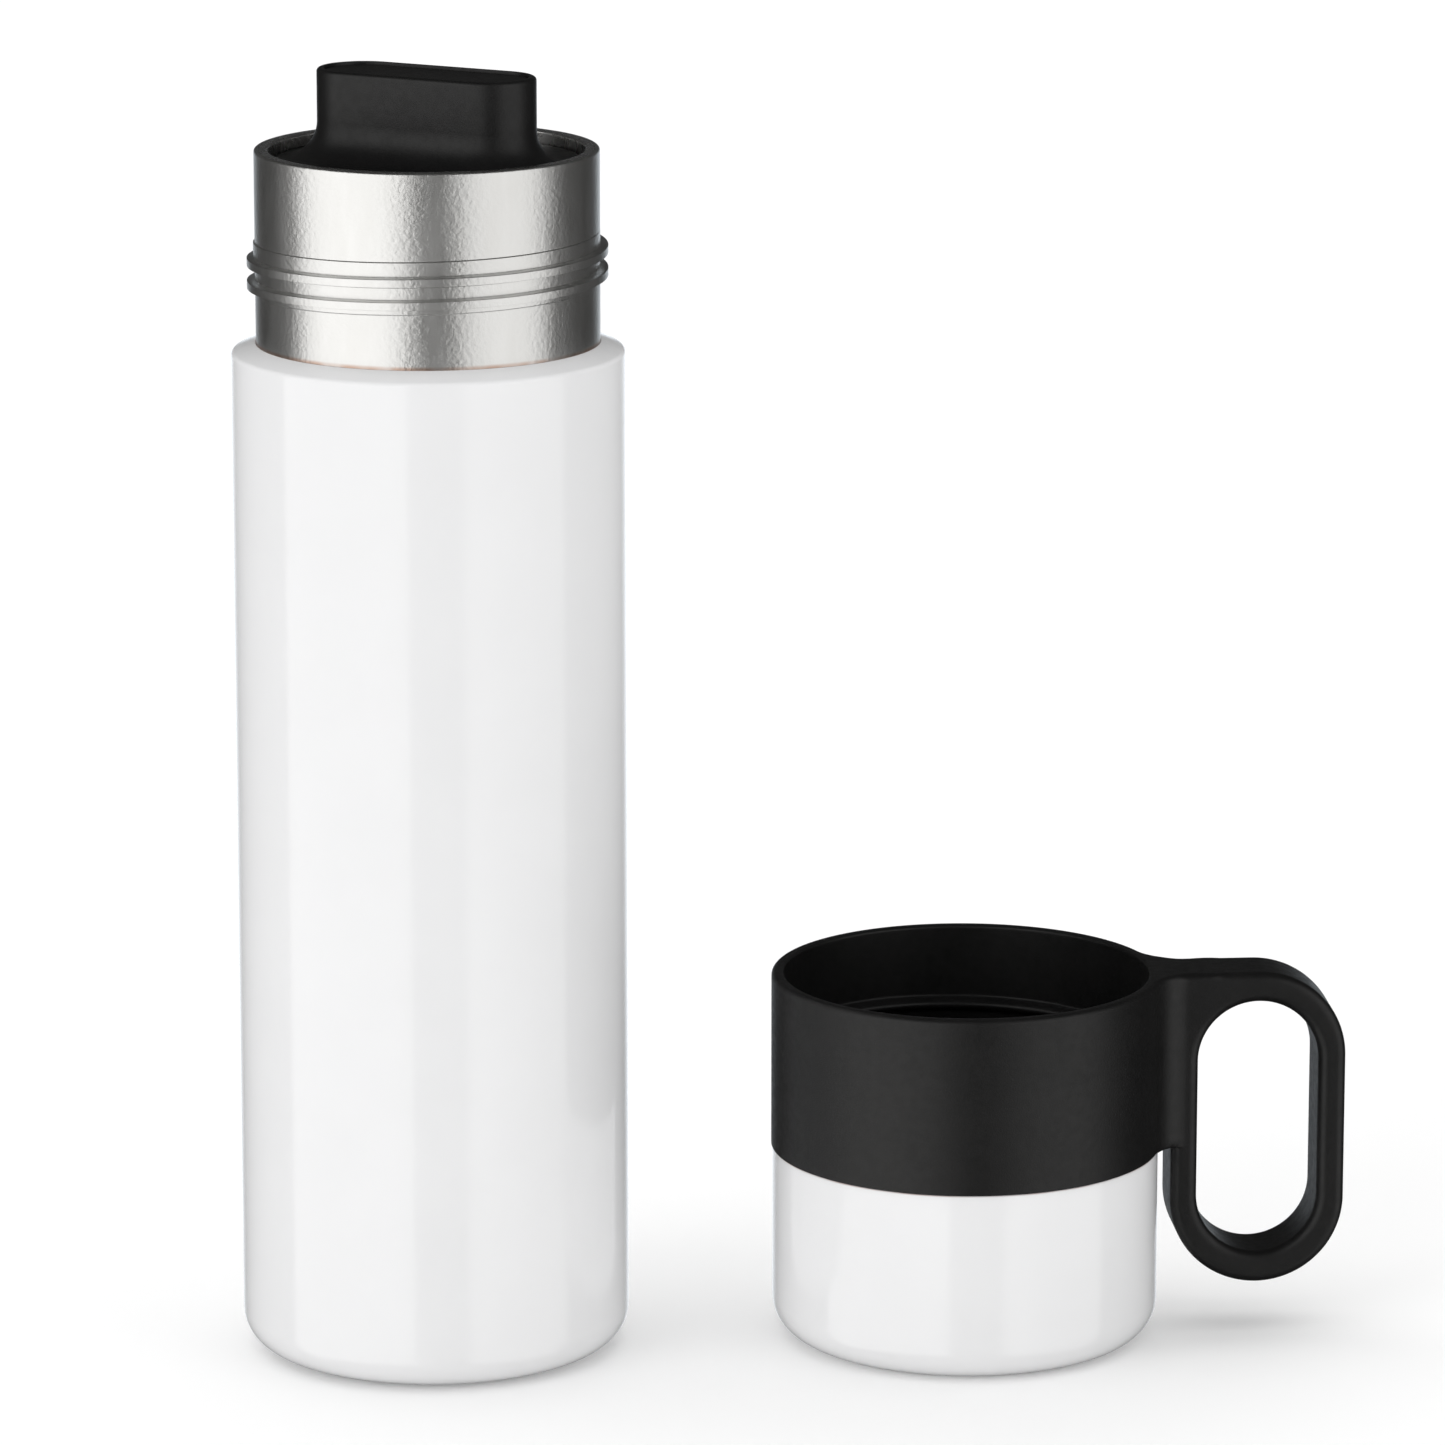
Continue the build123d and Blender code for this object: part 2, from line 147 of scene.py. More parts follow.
# Cup, collar and handle
CUP_EDGE = 6.6
CUP_WALL = 1.5
CUP_FLOOR = 2.5
RECESS_R = 24.0  # hollow under the cup
RECESS_DEPTH = 1.0
LIP_OUTER = 33.15  # lip of the outer cup, inside the collar
LINER_FOOT_R = 30.9
LINER_STEP_R = 31.6
LINER_STEP_Z = 30.0
LINER_TOP_R = 32.1
LINER_BORE_FOOT_R = 29.6
LINER_BORE_TOP_R = 30.6
LINER_FLOOR = 1.7
COLLAR_Z = 34.3
COLLAR_R = 34.35
COLLAR_TOP_EDGE = 0.9
REBATE_DEPTH = 3.3
BORE_R = 32.15
BORE_EDGE = 0.5
CUP_THREAD_R = 30.35
CUP_THREAD_BASE = 3.0
CUP_THREAD_CREST = 0.6
CUP_THREAD_FADE = 30
CUP_THREAD_Z = 48.5
CUP_THREAD_START = -160.0
CUP_THREAD_TURNS = 1.25
HANDLE_TURN = math.radians(4.5)
HANDLE_INNER = 36.0
HANDLE_OUTER = 66.9
HOLE_INNER = 40.65
HOLE_OUTER = 62.1
HOLE_FOOT = 14.6
HOLE_TOP = 60.4
HANDLE_HALF = 6.5  # half the handle's width
HANDLE_EDGE = 1.6
WEB_R = 5.0
HANDLE_START = 33.0  # the handle's inner end, inside the collar's wall
CLEAR_R = 35.2  # the loop stays outside this radius under the collar
TOP_LIFT = 2.4
LIFT_START = 37.0
LIFT_LENGTH = 9.0

# ---- Light and camera ------------------------------------------------------------------
AMBIENT = 0.425
FLOOR_GLOW = 0.10
ROOM_GLOW = 0.05
BACK_GLOW = 1.4
# Softboxes that shiny pieces mirror: start and end azimuth, strength, softness of the edges
SOFTBOXES = ((-91, -10.5, 1.52, 2.0), (22.5, 87, 1.2, 3.0))
# Lamps: strength, azimuth, elevation, width
LAMPS = {
    "key_left": (0.87, -48, 16, 40),
    "fill_right": (0.5, 58, 16, 40),
    "overhead": (1.75, 180, 73, 100),
}
FLOOR_HALF = 12.0  # metres
CAMERA_PLACE = (0.05064, -1.30485, 0.40913)
CAMERA_TILT = 0.224  # down, in radians
LENS = 191.5
SENSOR = 36.0


# ---- Mesh helpers ----------------------------------------------------------------------
def rounded(corners, steps=8, closed=True):
    """Outline points of (radius, height, rounding) corners, with rows that hold flats flat."""
    points = []
    count = len(corners)
    for i, (x, y, fillet) in enumerate(corners):
        corner = np.array((x, y), float)
        if fillet <= 0 or (not closed and i in (0, count - 1)):
            points.append(corner)
            continue
        to_last = np.array(corners[i - 1][:2]) - corner
        to_next = np.array(corners[(i + 1) % count][:2]) - corner
        to_last /= np.linalg.norm(to_last)
        to_next /= np.linalg.norm(to_next)
        half = math.acos(np.clip(to_last @ to_next, -1, 1)) / 2
        inward = (to_last + to_next) / np.linalg.norm(to_last + to_next)
        centre = corner + inward * fillet / math.sin(half)
        start = corner + to_last * fillet / math.tan(half) - centre
        end = corner + to_next * fillet / math.tan(half) - centre
        first = math.atan2(start[1], start[0])
        sweep = (math.atan2(end[1], end[0]) - first + math.pi) % (2 * math.pi) - math.pi
        for t in np.linspace(0, 1, steps + 1):
            angle = first + sweep * t
            points.append(centre + fillet * np.array((math.cos(angle), math.sin(angle))))
    return held(points, closed)


def held(points, closed=True, margin=0.25, longest=9.0):
    """Adds rows close to both ends of each long stretch, and splits very long ones."""
    out = []
    last = len(points) if closed else len(points) - 1
    for i in range(last):
        a, b = points[i], points[(i + 1) % len(points)]
        length = np.linalg.norm(b - a)
        out.append(a)
        if length > 4 * margin:
            inner = np.linspace(margin / length, 1 - margin / length, 2 + int(length / longest))
            out.extend(a + (b - a) * t for t in inner)
    if not closed:
        out.append(points[-1])
    return np.array(out)


def finish_mesh(name, verts, faces, centre, turn, material, body, replaced, slot, sharp=38):
    """Makes the object, in metres, in its place, smooth but for edges over the sharp angle, and
    rides it on its body."""
    verts = np.asarray(verts, float)
    c, s = math.cos(turn), math.sin(turn)
    placed = np.empty_like(verts)
    placed[:, 0] = centre[0] + c * verts[:, 0] - s * verts[:, 1]
    placed[:, 1] = centre[1] + s * verts[:, 0] + c * verts[:, 1]
    placed[:, 2] = verts[:, 2]
    mesh = bpy.data.meshes.new(name)
    mesh.from_pydata((placed * MM).tolist(), [], faces)
    mesh.validate()
    mesh.shade_smooth()
    mesh.set_sharp_from_angle(angle=math.radians(sharp))
    mesh.materials.append(material)
    piece = bpy.data.objects.new(name, mesh)
    bpy.context.scene.collection.objects.link(piece)
    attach(piece, body)
    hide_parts(*replaced)
    return piece


def ring_faces(rows, columns, closed):
    """Quads of a grid of rows round an axis. A closed grid also joins its last row to its first."""
    i, j = np.meshgrid(np.arange(rows if closed else rows - 1), np.arange(columns), indexing="ij")
    i2, j2 = (i + 1) % rows, (j + 1) % columns
    quads = np.stack([i * columns + j, i * columns + j2, i2 * columns + j2, i2 * columns + j], -1)
    return quads.reshape(-1, 4)


def spun(name, outline, look, bump=None, centre=FLASK, flip=False):
    """A turned piece. The outline is closed, or runs from the axis to the axis. bump(angle, r, z)
    gives the radius that a thread adds. flip turns the faces of an outline that runs the other
    way round."""
    on_axis = outline[0][0] < 1e-6 and outline[-1][0] < 1e-6
    rows = outline[1:-1] if on_axis else outline
    angle = np.arange(COLUMNS) * 2 * math.pi / COLUMNS
    r = np.repeat(rows[:, 0][:, None], COLUMNS, 1)
    z = np.repeat(rows[:, 1][:, None], COLUMNS, 1)
    if bump:
        r = r + bump(np.repeat(angle[None, :], len(rows), 0), r, z)
    verts = np.stack([r * np.cos(angle), r * np.sin(angle), z], -1).reshape(-1, 3)
    faces = ring_faces(len(rows), COLUMNS, not on_axis).tolist()
    if on_axis:
        first, last = len(verts), len(verts) + 1
        verts = np.vstack([verts, (0, 0, outline[0][1]), (0, 0, outline[-1][1])])
        end = (len(rows) - 1) * COLUMNS
        for j in range(COLUMNS):
            k = (j + 1) % COLUMNS
            faces.append([first, k, j])
            faces.append([last, end + j, end + k])
    if flip:
        faces = [f[::-1] for f in faces]
    return finish_mesh(name, verts, faces, centre, 0.0, *look)


def helix_ridge(angle, z, start, turns, z_start, lead, fade, shape):
    """Height from 0 to 1 of a helical ridge at an angle and height. shape(distance) gives its
    section, and fade is the angle over which each end grows out of the wall."""
    height = np.zeros_like(z)
    swept = (np.degrees(angle) - start) % 360
    for turn in range(math.ceil(turns) + 1):
        along = swept + 360 * turn
        grown = np.minimum(along, 360 * turns - along) / fade
        grown = np.clip(grown, 0, 1)
        grown = grown * grown * (3 - 2 * grown)
        middle = z_start + lead * along / 360
        height = np.maximum(height, grown * shape(np.abs(z - middle)))
    return height


def flanked(base, crest):
    """Section of a moulded or cut ridge, flat on top with slanting flanks and soft corners."""
    def shape(distance):
        t = np.clip((base / 2 - distance) / (base / 2 - crest / 2), 0, 1)
        return t * t * (3 - 2 * t)
    return shape


# ---- Implicit surface of the cup's collar ----------------------------------------------
def round_both(a, b, r):
    """Inside both shapes, with their shared edge rounded to radius r."""
    return np.minimum(np.maximum(a, b), -r) + np.hypot(np.maximum(a + r, 0), np.maximum(b + r, 0))


def round_either(a, b, r):
    """Inside either shape, with their shared corner filled to radius r."""
    return np.maximum(np.minimum(a, b), r) - np.hypot(np.maximum(r - a, 0), np.maximum(r - b, 0))


def stadium(u, z, low_u, high_u, low_z, high_z):
    """Distance outside an upright bar with round ends."""
    r = (high_u - low_u) / 2
    middle = np.clip(z, low_z + r, high_z - r)
    return np.hypot(u - (low_u + high_u) / 2, z - middle) - r


def smooth(t):
    """0 to 1 with soft ends."""
    t = np.clip(t, 0, 1)
    return t * t * (3 - 2 * t)


def collar_distance(p):
    """Distance outside the collar with its handle. p is on the cup's axis, handle along +X."""
    u, w, z = p[..., 0], p[..., 1], p[..., 2]
    r = np.hypot(u, w)
    # The handle's top is lifted near the collar, where the shared top plane trims it
    lift = TOP_LIFT * (1 - smooth((u - LIFT_START) / LIFT_LENGTH))
    loop_mid = (HANDLE_INNER + HANDLE_OUTER) / 2
    loop = stadium(u, z, HANDLE_INNER, HANDLE_OUTER, handle_foot, cup_height)
    root = np.maximum(np.maximum(u - loop_mid, COLLAR_Z - z), z - cup_height - lift)
    hole = stadium(u, z, HOLE_INNER, HOLE_OUTER, HOLE_FOOT, HOLE_TOP)
    side = np.maximum(np.minimum(loop, root), -hole)
    handle = round_both(side, np.abs(w) - HANDLE_HALF, HANDLE_EDGE)
    handle = np.maximum(handle, HANDLE_START - u)
    solid = round_either(r - COLLAR_R, handle, WEB_R)
    # Under the joint line only the loop goes on
    solid = np.maximum(solid, np.minimum(COLLAR_Z - z, np.maximum(CLEAR_R - r, handle)))
    # The top's edge is rounder on the handle, and leaves off where the handle has its own
    edge = COLLAR_TOP_EDGE + (HANDLE_EDGE - COLLAR_TOP_EDGE) * smooth((u - 35) / 4)
    solid = round_both(solid, z - cup_height, np.minimum(edge, lift + 0.01))
    angle = np.arctan2(w, u) + HANDLE_TURN
    thread = helix_ridge(
        angle, z, CUP_THREAD_START, CUP_THREAD_TURNS, CUP_THREAD_Z, RIDGE_PITCH,
        CUP_THREAD_FADE, flanked(CUP_THREAD_BASE, CUP_THREAD_CREST),
    )
    bore = BORE_R - (BORE_R - CUP_THREAD_R) * thread
    # The factor makes up for the thread's slanting flanks, where this overstates the distance
    solid = round_both(solid, (bore - r) * 0.85, BORE_EDGE)
    rebate = np.maximum(r - LIP_OUTER - 0.05, z - (COLLAR_Z + REBATE_DEPTH))
    return np.maximum(solid, -rebate)


def graded(*stretches):
    """Grid lines from (start, end, spacing) stretches that follow each other."""
    lines = [np.array([stretches[0][0]], float)]
    for start, end, spacing in stretches:
        lines.append(np.linspace(start, end, max(1, round((end - start) / spacing)) + 1)[1:])
    return np.concatenate(lines)


def wrapped_surface(distance, angles, radii, heights, steps=4, farthest=0.4):
    """Mesh of distance = 0 on a grid of angles, radii and heights: one vertex in each cell that
    the surface crosses, moved onto it in a few steps, each no longer than the farthest, and one
    quad across each crossed grid line."""
    grid = np.stack(np.meshgrid(angles, radii, heights, indexing="ij"), -1)
    at = np.stack(
        [grid[..., 1] * np.cos(grid[..., 0]), grid[..., 1] * np.sin(grid[..., 0]), grid[..., 2]], -1
    )
    value = distance(at)
    inside = value < 0
    inside_next = np.roll(inside, -1, 0)
    corners = []
    for da, field in ((0, inside), (1, inside_next)):
        for dr in (0, 1):
            for dz in (0, 1):
                corners.append(field[:, dr:field.shape[1] - 1 + dr, dz:field.shape[2] - 1 + dz])
    total = np.sum(corners, axis=0)
    crossed = (total > 0) & (total < 8)
    cells = np.argwhere(crossed)
    number = np.full(crossed.shape, -1)
    number[crossed] = np.arange(len(cells))
    step_a = np.diff(np.append(angles, angles[0] + 2 * math.pi))
    middle = np.stack(
        [
            angles[cells[:, 0]] + step_a[cells[:, 0]] / 2,
            (radii[cells[:, 1]] + radii[cells[:, 1] + 1]) / 2,
            (heights[cells[:, 2]] + heights[cells[:, 2] + 1]) / 2,
        ],
        -1,
    )
    points = crossing_mean(value, cells, angles, step_a, radii, heights, middle)
    for _ in range(steps):
        slope = gradient(distance, points)
        size = np.maximum((slope**2).sum(-1, keepdims=True), 0.05)
        move = distance(points)[:, None] * slope / size
        length = np.maximum(np.linalg.norm(move, axis=1), 1e-9)
        points -= move * np.minimum(1, farthest / length)[:, None]
    return points, grid_quads(inside, number)


def crossing_mean(value, cells, angles, step_a, radii, heights, middle):
    """Mean of the places where the surface crosses each cell's edges."""
    count_a = len(angles)
    total = np.zeros((len(cells), 3))
    hits = np.zeros(len(cells))
    low = np.stack([angles[cells[:, 0]], radii[cells[:, 1]], heights[cells[:, 2]]], -1)
    size = np.stack(
        [
            step_a[cells[:, 0]],
            radii[cells[:, 1] + 1] - radii[cells[:, 1]],
            heights[cells[:, 2] + 1] - heights[cells[:, 2]],
        ],
        -1,
    )

    def sample(corner):
        a = (cells[:, 0] + corner[0]) % count_a
        return value[a, cells[:, 1] + corner[1], cells[:, 2] + corner[2]]

    for axis in range(3):
        for first in (0, 1):
            for second in (0, 1):
                start = [first, second]
                start.insert(axis, 0)
                end = list(start)
                end[axis] = 1
                va, vb = sample(start), sample(end)
                hit = (va < 0) != (vb < 0)
                t = np.where(hit, va / np.where(hit, va - vb, 1), 0)
                place = low + size * np.array(start)
                place[:, axis] += size[:, axis] * t
                total += place * hit[:, None]
                hits += hit
    mean = np.where(hits[:, None] > 0, total / np.maximum(hits, 1)[:, None], middle)
    return np.stack(
        [mean[:, 1] * np.cos(mean[:, 0]), mean[:, 1] * np.sin(mean[:, 0]), mean[:, 2]], -1
    )


def gradient(distance, points, reach=0.02):
    """Slope of a distance at points."""
    slope = np.empty_like(points)
    for axis in range(3):
        shift = np.zeros(3)
        shift[axis] = reach
        slope[:, axis] = (distance(points + shift) - distance(points - shift)) / (2 * reach)
    return slope


def grid_quads(inside, number):
    """Quads across the grid lines whose ends lie on different sides of the surface."""
    quads = []
    count_a = inside.shape[0]
    # Lines along the angle
    a, r, z = np.nonzero(inside[:, 1:-1, 1:-1] != np.roll(inside, -1, 0)[:, 1:-1, 1:-1])
    out = inside[a, r + 1, z + 1]
    quads.append(oriented(number, (a, r, z), (a, r + 1, z), (a, r + 1, z + 1), (a, r, z + 1), out))
    # Lines along the radius
    a, r, z = np.nonzero(inside[:, :-1, 1:-1] != inside[:, 1:, 1:-1])
    back = (a - 1) % count_a
    out = ~inside[a, r, z + 1]
    quads.append(oriented(number, (back, r, z), (a, r, z), (a, r, z + 1), (back, r, z + 1), out))
    # Lines along the height
    a, r, z = np.nonzero(inside[:, 1:-1, :-1] != inside[:, 1:-1, 1:])
    back = (a - 1) % count_a
    out = inside[a, r + 1, z]
    quads.append(oriented(number, (back, r, z), (a, r, z), (a, r + 1, z), (back, r + 1, z), out))
    return np.concatenate(quads)


def oriented(number, one, two, three, four, keep):
    """Quads of cell numbers, turned round where keep is false."""
    quads = np.stack([number[one], number[two], number[three], number[four]], -1)
    return np.where(keep[:, None], quads[:, ::-1], quads)


# ---- Materials -------------------------------------------------------------------------
class Nodes:
    """A material with a Principled shader, and short ways to add nodes to it."""

    def __init__(self, name):
        self.material = bpy.data.materials.new(name)
        self.material.use_nodes = True
        self.tree = self.material.node_tree
        self.shader = self.tree.nodes["Principled BSDF"]
        self.place = self.add("ShaderNodeTexCoord").outputs["Object"]

    def add(self, kind, **settings):
        node = self.tree.nodes.new(kind)
        for key, value in settings.items():
            setattr(node, key, value)
        return node

    def link(self, source, target):
        self.tree.links.new(source, target)

    def set(self, **values):
        """Plain numbers and colours on the shader's own sockets."""
        for key, value in values.items():
            socket = self.shader.inputs[key.replace("_", " ")]
            socket.default_value = (*value, 1) if hasattr(value, "__len__") else value

    def scaled(self, scale):
        node = self.add("ShaderNodeMapping")
        node.inputs["Scale"].default_value = scale
        self.link(self.place, node.inputs["Vector"])
        return node.outputs["Vector"]

    def noise(self, scale, detail=2.0, rough=0.5, stretch=None):
        """Noise with so many cells to the metre, stretched along each axis."""
        node = self.add("ShaderNodeTexNoise")
        node.inputs["Scale"].default_value = scale
        node.inputs["Detail"].default_value = detail
        node.inputs["Roughness"].default_value = rough
        self.link(self.scaled(stretch) if stretch else self.place, node.inputs["Vector"])
        return node.outputs["Fac"]

    def cells(self, scale, feature="F1"):
        node = self.add("ShaderNodeTexVoronoi", feature=feature)
        node.inputs["Scale"].default_value = scale
        self.link(self.place, node.inputs["Vector"])
        return node.outputs["Distance"]

    def ramp(self, value, low, high, out_low=0.0, out_high=1.0):
        node = self.add("ShaderNodeMapRange", interpolation_type="SMOOTHSTEP")
        for key, number in zip(("From Min", "From Max", "To Min", "To Max"),
                               (low, high, out_low, out_high)):
            node.inputs[key].default_value = number
        self.link(value, node.inputs["Value"])
        return node.outputs["Result"]

    def mix(self, factor, first, second):
        """Colour between two colours."""
        node = self.add("ShaderNodeMix", data_type="RGBA")
        self.link(factor, node.inputs["Factor"])
        for socket, value in ((node.inputs["A"], first), (node.inputs["B"], second)):
            if hasattr(value, "is_linked"):
                self.link(value, socket)
            else:
                socket.default_value = (*value, 1)
        return node.outputs["Result"]

    def math(self, operation, first, second):
        node = self.add("ShaderNodeMath", operation=operation)
        for socket, value in zip(node.inputs, (first, second)):
            if hasattr(value, "is_linked"):
                self.link(value, socket)
            else:
                socket.default_value = value
        return node.outputs["Value"]

    def height(self, low, high):
        """0 under one height and 1 over another, in millimetres."""
        node = self.add("ShaderNodeSeparateXYZ")
        self.link(self.place, node.inputs[0])
        return self.ramp(node.outputs["Z"], low * MM, high * MM)

    def bump(self, height, depth, under=None):
        """Relief of so many metres."""
        node = self.add("ShaderNodeBump")
        node.inputs["Distance"].default_value = depth
        self.link(height, node.inputs["Height"])
        if under:
            self.link(under, node.inputs["Normal"])
        self.link(node.outputs["Normal"], self.shader.inputs["Normal"])
        return node.outputs["Normal"]


def white_gloss(name, line=None):
    """Glossy white coating with the faintest unevenness, and a rusty stain along a line."""
    n = Nodes(name)
    shade = n.ramp(n.noise(60, 3), 0.3, 0.7)
    colour = n.mix(shade, (0.86, 0.86, 0.865), (0.848, 0.848, 0.853))
    if line:
        stain = n.math("MULTIPLY", n.height(line - 0.35, line - 0.05),
                       n.ramp(n.noise(90, 2), 0.35, 0.7, 0.15, 0.6))
        colour = n.mix(stain, colour, (0.36, 0.16, 0.12))
    n.link(colour, n.shader.inputs["Base Color"])
    n.link(n.ramp(n.noise(900, 2), 0.3, 0.7, 0.10, 0.16), n.shader.inputs["Roughness"])
    n.set(IOR=1.5)
    n.bump(n.noise(160, 2), 0.00002)
    return n.material


def satin_steel(name, low=0.31, high=0.35, line=None):
    """Blasted stainless steel: a fine pebbled skin over soft streaks. Just above a line, a
    copper-brown painted reflection of the ledge tints the steel, most at the line."""
    n = Nodes(name)
    streak = n.noise(240, 3, 0.55, (1, 1, 0.25))
    tone = n.ramp(streak, 0.3, 0.7)
    colour = n.mix(tone, (0.615, 0.612, 0.60), (0.66, 0.658, 0.648))
    if line:
        # Painted reflection: copper-brown colour near the neck's foot, standing in for the ledge
        # mirrored there.
        ledge_reflection = n.math("MULTIPLY", n.height(line + 0.75, line + 0.1),
                      n.ramp(n.noise(130, 2), 0.35, 0.65, 0.1, 0.75))
        colour = n.mix(ledge_reflection, colour, (0.42, 0.25, 0.17))
    n.link(colour, n.shader.inputs["Base Color"])
    n.link(n.ramp(streak, 0.3, 0.7, low, high), n.shader.inputs["Roughness"])
    n.set(Metallic=1.0)
    first = n.bump(n.noise(1300, 2, 0.5), 0.000055)
    n.bump(n.noise(3800, 2), 0.000006, under=first)
    return n.material


def plain(name, first, second, low, high, grain, depth, metal=0.0, ior=1.5):
    """Two close tones, an uneven shine and a grain of so many cells to the metre."""
    n = Nodes(name)
    cloud = n.ramp(n.noise(grain / 6, 3), 0.3, 0.7)
    n.link(n.mix(cloud, first, second), n.shader.inputs["Base Color"])
    n.link(n.ramp(n.noise(grain / 2, 2), 0.3, 0.7, low, high), n.shader.inputs["Roughness"])
    n.set(Metallic=metal, IOR=ior)
    n.bump(n.noise(grain, 2), depth * MM)
    return n.material


def soft_black(name, tone=0.012, low=0.42, high=0.52):
    """Moulded black plastic with a fine spark-eroded texture."""
    n = Nodes(name)
    shade = n.ramp(n.noise(140, 4), 0.3, 0.7)
    n.link(n.mix(shade, (tone,) * 3, (tone * 1.35, tone * 1.3, tone * 1.3)),
           n.shader.inputs["Base Color"])
    n.link(n.ramp(n.noise(700, 3), 0.3, 0.7, low, high), n.shader.inputs["Roughness"])
    n.set(IOR=1.38)
    first = n.bump(n.noise(5200, 2, 0.6), 0.000018)
    n.bump(n.cells(3400), 0.00001, under=first)
    return n.material


WHITE = white_gloss("white_gloss_paint")
CUP_WHITE = white_gloss("white_gloss_cup", COLLAR_Z)
NECK_STEEL = satin_steel("satin_neck_steel", line=neck_foot_z)
STEEL = satin_steel("satin_steel", 0.24, 0.3)
BLACK = soft_black("soft_black_plastic", 0.004, 0.40, 0.47)
LINER = soft_black("liner_black_plastic", 0.003, 0.3, 0.42)
PLUG = plain("plug_plastic", (0.024, 0.024, 0.025), (0.034, 0.033, 0.033), 0.38, 0.48, 3600, 0.02)
COPPER = plain("copper_foil", (0.93, 0.50, 0.36), (0.83, 0.42, 0.29), 0.22, 0.38, 420, 0.12, 1.0)
GETTER = plain("getter_alloy", (0.20, 0.19, 0.19), (0.30, 0.29, 0.27), 0.6, 0.8, 5200, 0.05, 1.0)
GLASS = plain("sealing_glass", (0.06, 0.09, 0.10), (0.09, 0.12, 0.12), 0.05, 0.15, 900, 0.01,
              ior=1.52)
RUBBER = plain("foot_rubber", (0.025, 0.025, 0.027), (0.04, 0.04, 0.042), 0.7, 0.85, 4200, 0.04)
SILICONE = plain("gasket_silicone", (0.62, 0.62, 0.60), (0.70, 0.70, 0.68), 0.35, 0.5, 2400, 0.01,
                 ior=1.42)
FOAM = plain("white_foam", (0.80, 0.78, 0.70), (0.88, 0.86, 0.80), 0.85, 0.95, 2600, 0.2)


# ---- Flask -----------------------------------------------------------------------------
def flask_shell():
    """Painted outer shell."""
    slope = LEDGE_DROP / (body_r - NECK_R)
    drop = WALL * math.hypot(1, slope)
    ledge_z = neck_foot_z - LEDGE_DROP
    outline = rounded([
        (BASE_HOLE_R, body_foot, 0.15),
        (body_r, body_foot, BASE_EDGE),
        (body_r, ledge_z, LEDGE_EDGE),
        (NECK_R + 0.02, neck_foot_z, 0.12),
        (NECK_R + 0.02, neck_foot_z - drop, 0),
        (body_r - WALL, ledge_z + slope * WALL - drop, 0),
        (body_r - WALL, body_foot + WALL, BASE_EDGE - WALL),
        (BASE_HOLE_R, body_foot + WALL, 0),
    ], steps=12)
    spun("outer_shell_paint", outline,
         (WHITE, "flask", ["outer_shell"], "white_paint"), flip=True)


